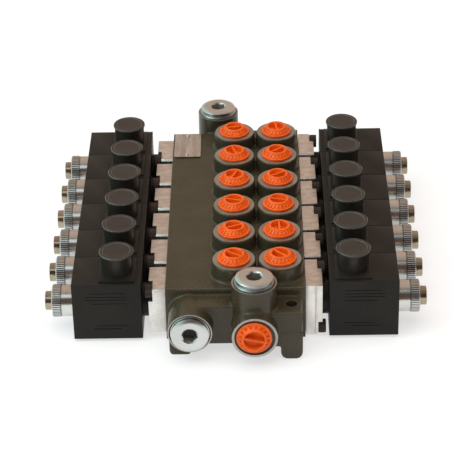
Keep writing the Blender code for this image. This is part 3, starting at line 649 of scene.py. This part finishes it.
screw = turned([(SCREW_RADIUS - 0.0003, 0.0), (SCREW_RADIUS, 0.0002), (SCREW_RADIUS, SCREW_HEAD - 0.0005),
                (SCREW_RADIUS - 0.0004, SCREW_HEAD), (0.0035, SCREW_HEAD)], SCREW_TEETH * 2)
knurled(screw, SCREW_TEETH * 2, 2, 1, lambda radius, height: 0.0001 < height < SCREW_HEAD - 0.0003)
combined(screw, turned([(SCREW_SOCKET, 0.0025), (SCREW_SOCKET, SCREW_HEAD + 0.0005)], 6), "DIFFERENCE")
black_oxide = surface("black_oxide", (0.035, 0.026, 0.022), (0.055, 0.040, 0.033), (0.32, 0.42), 0.6,
                      grain=(2000, 2000, 2000))
finished(screw, black_oxide)
placed(screw, pi / 2, "Y", (NOTCH_FLOOR + 0.0001, 0, spool_z))
for side, turn, (width, height), notch, chamfer in HOUSINGS:
    across = width / 2 - SCREW_EDGE
    up = height / 2 - SCREW_RIM
    for number, y in enumerate(section_y, 1):
        for where, sign in (("upper", 1), ("lower", -1)):
            twin = copy_of(screw, f"cap_screw_{side}_{where}_{number}", at=(0, sign * across, sign * up))
            placed(twin, turn, "Z", (0, y, 0))
            on_valve(twin, "plate_steel")
bpy.data.objects.remove(screw)


# The solenoid tube is a plain steel tube screwed into the end housing. The coil slides over it and
# is held by a plated nut with a smooth sleeve and a straight-knurled grip; a bronze-coloured stub
# with the hand override pin stands out of the nut.
SIDES = (("left", pi), ("right", 0.0))
COIL_OUTER = 0.1161
TUBE_RADIUS = 0.0095
NUT_RADIUS = 0.0115
NUT_TEETH = 48
GRIP_RADIUS = 0.0118
STUB_RADIUS = 0.0069
NUT_START = COIL_OUTER + 0.0003
NUT_END = NUT_START + 0.0154
GRIP_START = NUT_END - 0.0066
STUB_END = NUT_END + 0.0050
tube = turned([(TUBE_RADIUS - 0.0015, 0.0562), (TUBE_RADIUS, 0.0570), (TUBE_RADIUS, NUT_START)], 64)
nut = turned([(0.0096, NUT_START), (NUT_RADIUS - 0.0003, NUT_START), (NUT_RADIUS, NUT_START + 0.0003),
              (NUT_RADIUS, GRIP_START - 0.0006), (NUT_RADIUS - 0.0003, GRIP_START - 0.0003),
              (NUT_RADIUS - 0.0003, GRIP_START), (0.0108, GRIP_START + 0.0003)], 96)
grip = turned([(0.0105, GRIP_START - 0.0002), (GRIP_RADIUS - 0.0003, GRIP_START),
               (GRIP_RADIUS, GRIP_START + 0.0003), (GRIP_RADIUS, GRIP_START + 0.0008),
               (GRIP_RADIUS, NUT_END - 0.0007), (GRIP_RADIUS - 0.0005, NUT_END - 0.0001),
               (GRIP_RADIUS - 0.0010, NUT_END), (0.0080, NUT_END)], NUT_TEETH * 5)
knurled(grip, NUT_TEETH * 5, 5, 0,
        lambda radius, height: radius > 0.0112 and height > GRIP_START + 0.0006)
stub = turned([(0.0060, NUT_END - 0.0005), (STUB_RADIUS, NUT_END - 0.0005),
               (STUB_RADIUS, STUB_END - 0.0003), (STUB_RADIUS - 0.0003, STUB_END), (0.0030, STUB_END),
               (0.0028, STUB_END - 0.0008), (0.0018, STUB_END - 0.0008)], 48)
tube_steel = surface("tube_steel", (0.30, 0.28, 0.26), (0.40, 0.38, 0.36), (0.28, 0.38), 1.0,
                     marks=0.000004)
nut_plate = surface("nut_plate", (0.58, 0.58, 0.56), (0.72, 0.72, 0.70), (0.18, 0.26), 1.0,
                    patches=(90, 90, 90), marks=0.000003)
knurl_plate = surface("knurl_plate", (0.56, 0.57, 0.56), (0.72, 0.73, 0.72), (0.28, 0.38), 1.0,
                      patches=(90, 90, 90), grain=(2500, 2500, 2500), depth=0.000006)
# The grooves between the grip's teeth get a near-black finish: painted shade in the grooves.
knurl_groove_shade = surface("knurl_groove_shade", (0.030, 0.030, 0.030), (0.075, 0.075, 0.072), (0.45, 0.60), 0.4)
bronze = surface("bronze_stub", (0.34, 0.29, 0.21), (0.48, 0.42, 0.32), (0.15, 0.22), 1.0,
                 marks=0.000003)
for piece, metal in ((tube, tube_steel), (nut, nut_plate), (grip, knurl_plate), (stub, bronze)):
    finished(piece, metal, 28)
grip.data.materials.append(knurl_groove_shade)
for face in grip.data.polygons:
    corners = [Vector(grip.data.vertices[index].co[:2]).length for index in face.vertices]
    if len(corners) == 4 and min(corners) < 0.0114 and face.center.z < NUT_END - 0.0005:
        face.material_index = 1
for piece in (tube, nut, grip, stub):
    marked(piece)
    placed(piece, pi / 2, "Y", (0, 0, spool_z))
for side, turn in SIDES:
    for number, y in enumerate(section_y, 1):
        twin = copy_of(tube, f"tube_{side}_{number}", turn, "Z", (0, y, 0))
        on_valve(twin, "bright_steel", f"solenoid_tube_{side}_{number}")
        for piece, name in ((nut, "coil_nut"), (grip, "nut_grip"), (stub, "tube_stub")):
            on_valve(copy_of(piece, f"{name}_{side}_{number}", turn, "Z", (0, y, 0)), "bright_steel")
for piece in (tube, nut, grip, stub):
    bpy.data.objects.remove(piece)


# The coils are moulded in black-brown plastic: a square block with shallow grooves on both flanks,
# two more along its inner edge and a raised step that carries the connector.
COIL_INNER = 0.0667
COIL_TOP = spool_z + 0.0244
COIL_BOTTOM = spool_z - 0.0213
COIL_HALF = 0.0188
PLATFORM_NEAR = 0.0043
PLATFORM_FAR = 0.0303
PLATFORM_MARGIN = 0.0030
PLATFORM_RISE = 0.0012
COLLAR_RADIUS = 0.0121
COLLAR_REACH = 0.0045
GROOVE_HALF = 0.0004
FLANK_GROOVES = ((0.0073, 0.0125, 0.0381), (0.0103, 0.0094, 0.0387), (0.0127, 0.0100, 0.0387),
                 (0.0158, 0.0144, 0.0390), (0.0345, 0.0170, 0.0390), (0.0371, 0.0144, 0.0344))
EDGE_GROOVES = (0.0012, 0.0028)
coil = block((COIL_INNER, -COIL_HALF, COIL_BOTTOM), (COIL_OUTER, COIL_HALF, COIL_TOP))
modified(coil, "BEVEL", width=0.0003, segments=3, limit_method="ANGLE", angle_limit=radians(40))
platform = block((COIL_INNER + PLATFORM_NEAR, PLATFORM_MARGIN - COIL_HALF, COIL_TOP - 0.003),
                 (COIL_INNER + PLATFORM_FAR, COIL_HALF - PLATFORM_MARGIN, COIL_TOP + PLATFORM_RISE))
modified(platform, "BEVEL", width=0.0005, segments=3, limit_method="ANGLE", angle_limit=radians(40))
combined(coil, platform, "UNION")
collar_end = COIL_INNER - COLLAR_REACH
collar = turned([(COLLAR_RADIUS - 0.0004, collar_end), (COLLAR_RADIUS, collar_end + 0.0004),
                 (COLLAR_RADIUS, COIL_INNER + 0.002)], 64)
combined(coil, placed(collar, pi / 2, "Y", (0, 0, spool_z)), "UNION")
grooves = []
for flank in (-1, 1):
    side_y = flank * COIL_HALF
    for depth, start, end in FLANK_GROOVES:
        groove_z = COIL_TOP - depth
        grooves.append(block((COIL_OUTER - end, side_y - GROOVE_HALF, groove_z - GROOVE_HALF),
                             (COIL_OUTER - start, side_y + GROOVE_HALF, groove_z + GROOVE_HALF)))
for run in EDGE_GROOVES:
    grooves.append(block((COIL_INNER + run, -0.03, COIL_TOP - 0.0006),
                         (COIL_INNER + run + 0.0006, 0.03, COIL_TOP + 0.0006)))
combined(coil, joined(grooves, "grooves"), "DIFFERENCE")
bore = turned([(TUBE_RADIUS + 0.0003, 0.05), (TUBE_RADIUS + 0.0003, 0.12)], 64)
combined(coil, placed(bore, pi / 2, "Y", (0, 0, spool_z)), "DIFFERENCE")
# The coil's slightly lighter edge colour is a painted highlight along its edges, with some wear.
coil_plastic = surface("coil_plastic", (0.009, 0.0074, 0.006), (0.016, 0.0135, 0.0115), (0.34, 0.44),
                       patches=(40, 40, 40), grain=(1800, 1800, 1800), depth=0.00001, specular=0.17,
                       edge=(0.018, 0.017, 0.015))
finished(coil, coil_plastic)
for side, turn in SIDES:
    for number, y in enumerate(section_y, 1):
        twin = copy_of(coil, f"coil_body_{side}_{number}", turn, "Z", (0, y, 0))
        on_valve(twin, "coil_plastic", f"coil_{side}_{number}")
bpy.data.objects.remove(coil)


# A black moulded cap is pushed over each coil's connector: a drum that widens upwards, with a thin
# overhanging lid whose top is slightly sunk inside its rim.
CAP_X = 0.08405
CAP_TOP = spool_z + 0.0414
LID_RADIUS = 0.0124
cap = turned([(0.01115, COIL_TOP + 0.0010), (0.01120, COIL_TOP + 0.0022), (0.01170, CAP_TOP - 0.0020),
              (0.01200, CAP_TOP - 0.0015), (0.01225, CAP_TOP - 0.0014), (LID_RADIUS, CAP_TOP - 0.0012),
              (LID_RADIUS, CAP_TOP - 0.0004), (0.01200, CAP_TOP), (0.01000, CAP_TOP),
              (0.00985, CAP_TOP - 0.0002), (0.0060, CAP_TOP - 0.0002)], 72)
# The cap's much lighter edge colour is a painted highlight along the lid's rim.
cap_plastic = surface("cap_plastic", (0.014, 0.012, 0.010), (0.022, 0.019, 0.016), (0.26, 0.34),
                      patches=(60, 60, 60), grain=(2200, 2200, 2200), depth=0.000006, specular=0.42,
                      edge=(0.12, 0.13, 0.12))
finished(cap, cap_plastic, 35)
for side, turn in SIDES:
    for number, y in enumerate(section_y, 1):
        twin = copy_of(cap, f"connector_cap_{side}_{number}", at=(CAP_X, 0, 0))
        placed(twin, turn, "Z", (0, y, 0))
        on_valve(twin, "coil_plastic")
bpy.data.objects.remove(cap)


# The nameplate is a thin sheet of brushed aluminium with three fine ruled lines, held to the deck by
# two round-headed rivets.
PLATE_THICKNESS = 0.0008
RULE_WIDTH = 0.0004
RIVET_EDGE = 0.0030
plate_low, plate_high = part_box("nameplate")
plate_top = plate_low.z + PLATE_THICKNESS
plate = block(plate_low, (plate_high.x, plate_high.y, plate_top))
rounded_edges(plate, lambda a, b: abs(a.z - b.z) > 0.0005, 0.0015)
rules = []
for share in (0.30, 0.52, 0.70):
    x = plate_low.x + share * (plate_high.x - plate_low.x)
    rules.append(block((x, plate_low.y + 0.003, plate_top - 0.0002),
                       (x + RULE_WIDTH, plate_high.y - 0.003, 0.06)))
combined(plate, joined(rules, "rules"), "DIFFERENCE")
rivets = []
for y in (plate_low.y + RIVET_EDGE, plate_high.y - RIVET_EDGE):
    rivet = turned([(0.0015, 0.0), (0.0014, 0.0003), (0.0011, 0.0006), (0.0005, 0.0008)], 24)
    rivets.append(placed(rivet, at=((plate_low.x + plate_high.x) / 2, y, plate_top - 0.00005)))
aluminium = surface("plate_aluminium", (0.44, 0.42, 0.40), (0.80, 0.78, 0.76), (0.34, 0.44), 1.0,
                    patches=(190, 24, 120), grain=(3000, 150, 3000), depth=0.000008)
for piece, metal in [(plate, aluminium)] + [(rivet, nut_plate) for rivet in rivets]:
    finished(piece, metal)
nameplate = joined([plate] + rivets, "rating_plate")
on_valve(nameplate, "plate_aluminium", "nameplate")


# The spools are ground and hardened steel and slide in the body's bores. Nothing shows them, so the
# CAD's own shapes stay, with a finish of their own.
ground_steel = surface("ground_steel", (0.42, 0.42, 0.43), (0.50, 0.50, 0.51), (0.12, 0.20), 1.0)
for number in range(1, SECTIONS + 1):
    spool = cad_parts[f"spool_{number}"]
    spool.data.materials.clear()
    spool.data.materials.append(ground_steel)


# The studio has a pale floor, a broad soft lamp overhead and a low warm one in front. Two cool
# windows show in the metal, and the room is warm and bright behind the valve, dark in front of it
# and cool on its left.
bpy.ops.object.select_all(action="DESELECT")
bpy.ops.mesh.primitive_plane_add(size=12.0, location=(0, 0, 0))
floor = bpy.context.object
floor.name = "floor"
floor_material = bpy.data.materials.new("pale_floor")
floor_material.use_nodes = True
nodes, links = floor_material.node_tree.nodes, floor_material.node_tree.links
nodes["Principled BSDF"].inputs["Base Color"].default_value = (0.93, 0.93, 0.93, 1)
nodes["Principled BSDF"].inputs["Roughness"].default_value = 1.0
nodes["Principled BSDF"].inputs["Specular IOR Level"].default_value = 0.0
glow = nodes.new("ShaderNodeEmission")
seen = nodes.new("ShaderNodeLightPath")
in_mirror = nodes.new("ShaderNodeMath")
in_mirror.operation = "MAXIMUM"
links.new(seen.outputs["Is Glossy Ray"], in_mirror.inputs[0])
links.new(seen.outputs["Is Transmission Ray"], in_mirror.inputs[1])
in_view = nodes.new("ShaderNodeMath")
in_view.operation = "MAXIMUM"
links.new(seen.outputs["Is Camera Ray"], in_view.inputs[0])
links.new(in_mirror.outputs["Value"], in_view.inputs[1])
faded = nodes.new("ShaderNodeMath")
faded.operation = "MULTIPLY"
faded.inputs[1].default_value = 0.6
links.new(in_view.outputs["Value"], faded.inputs[0])
pale = nodes.new("ShaderNodeMixShader")
links.new(faded.outputs["Value"], pale.inputs["Fac"])
links.new(nodes["Principled BSDF"].outputs["BSDF"], pale.inputs[1])
links.new(glow.outputs["Emission"], pale.inputs[2])
links.new(pale.outputs["Shader"], nodes["Material Output"].inputs["Surface"])
floor.data.materials.append(floor_material)

for name, place, size, energy, colour, mirrored in (
        ("overhead", (0.0, -0.35, 1.8), 2.0, 30, (0.96, 0.94, 0.92), False),
        ("front_fill", (0.2, -2.0, 0.9), 1.0, 7, (1.0, 0.92, 0.82), False),
        ("left_window", (-1.35, -0.45, 1.25), 1.1, 11, (0.78, 1.0, 0.97), True),
        ("front_window", (-0.25, -1.1, 1.9), 0.9, 2.2, (0.94, 0.98, 1.0), True)):
    lamp = bpy.data.lights.new(name, "AREA")
    lamp.shape = "SQUARE"
    lamp.size = size
    lamp.energy = energy
    lamp.color = colour
    stand = bpy.data.objects.new(name, lamp)
    bpy.context.scene.collection.objects.link(stand)
    stand.location = place
    stand.rotation_euler = (-Vector(place)).to_track_quat("-Z", "Y").to_euler()
    stand.visible_glossy = mirrored

world = bpy.data.worlds.new("studio")
bpy.context.scene.world = world
world.use_nodes = True
nodes, links = world.node_tree.nodes, world.node_tree.links
background = nodes["Background"]
direction = nodes.new("ShaderNodeTexCoord")
split = nodes.new("ShaderNodeSeparateXYZ")
links.new(direction.outputs["Generated"], split.inputs["Vector"])
towards_front = nodes.new("ShaderNodeMath")
towards_front.operation = "MULTIPLY"
towards_front.inputs[1].default_value = -1.0
links.new(split.outputs["Y"], towards_front.inputs[0])
overhead_angle = nodes.new("ShaderNodeMath")
overhead_angle.operation = "ARCTAN2"
links.new(split.outputs["Z"], overhead_angle.inputs[0])
links.new(towards_front.outputs["Value"], overhead_angle.inputs[1])
share = nodes.new("ShaderNodeMath")
share.operation = "DIVIDE"
share.inputs[1].default_value = pi
links.new(overhead_angle.outputs["Value"], share.inputs[0])
ramp = nodes.new("ShaderNodeValToRGB")
ramp.color_ramp.elements[0].color = (0.16, 0.09, 0.07, 1)
ramp.color_ramp.elements[1].color = (0.80, 0.62, 0.50, 1)
for position, colour in ((0.22, (0.11, 0.07, 0.055)), (0.30, (0.13, 0.12, 0.12)), (0.43, (0.20, 0.18, 0.17)),
                         (0.50, (0.50, 0.40, 0.34)), (0.80, (0.68, 0.49, 0.38)),
                         (0.818, (0.72, 0.54, 0.43)), (0.842, (0.46, 0.33, 0.26))):
    step = ramp.color_ramp.elements.new(position)
    step.color = (*colour, 1)
links.new(share.outputs["Value"], ramp.inputs["Fac"])
to_left = nodes.new("ShaderNodeMapRange")
to_left.inputs["From Min"].default_value = -0.25
to_left.inputs["From Max"].default_value = -0.50
links.new(split.outputs["X"], to_left.inputs["Value"])
left_wall = nodes.new("ShaderNodeMix")
left_wall.data_type = "RGBA"
left_wall.inputs["B"].default_value = (0.66, 0.84, 0.80, 1)
links.new(to_left.outputs["Result"], left_wall.inputs["Factor"])
links.new(ramp.outputs["Color"], left_wall.inputs["A"])
links.new(left_wall.outputs["Result"], background.inputs["Color"])
background.inputs["Strength"].default_value = 1.0

camera = bpy.data.cameras.new("camera")
camera.sensor_width = 36.0
camera.lens = 155.67
camera.clip_end = 50.0
viewer = bpy.data.objects.new("camera", camera)
bpy.context.scene.collection.objects.link(viewer)
yaw, pitch, roll = radians(-1.09), radians(31.09), radians(-1.41)
viewpoint = Vector((0.0167, middle - 1.27256, 0.79416))
forward = Vector((sin(yaw) * cos(pitch), cos(yaw) * cos(pitch), -sin(pitch)))
right = Vector((cos(yaw), -sin(yaw), 0))
above = right.cross(forward)
tilted_right = cos(roll) * right + sin(roll) * above
tilted_above = cos(roll) * above - sin(roll) * right
turned_towards = Matrix((tilted_right, tilted_above, -forward)).transposed()
viewer.matrix_world = Matrix.Translation(viewpoint) @ turned_towards.to_4x4()
bpy.context.scene.camera = viewer
bpy.context.scene.view_settings.view_transform = "Standard"

bpy.context.view_layer.update()
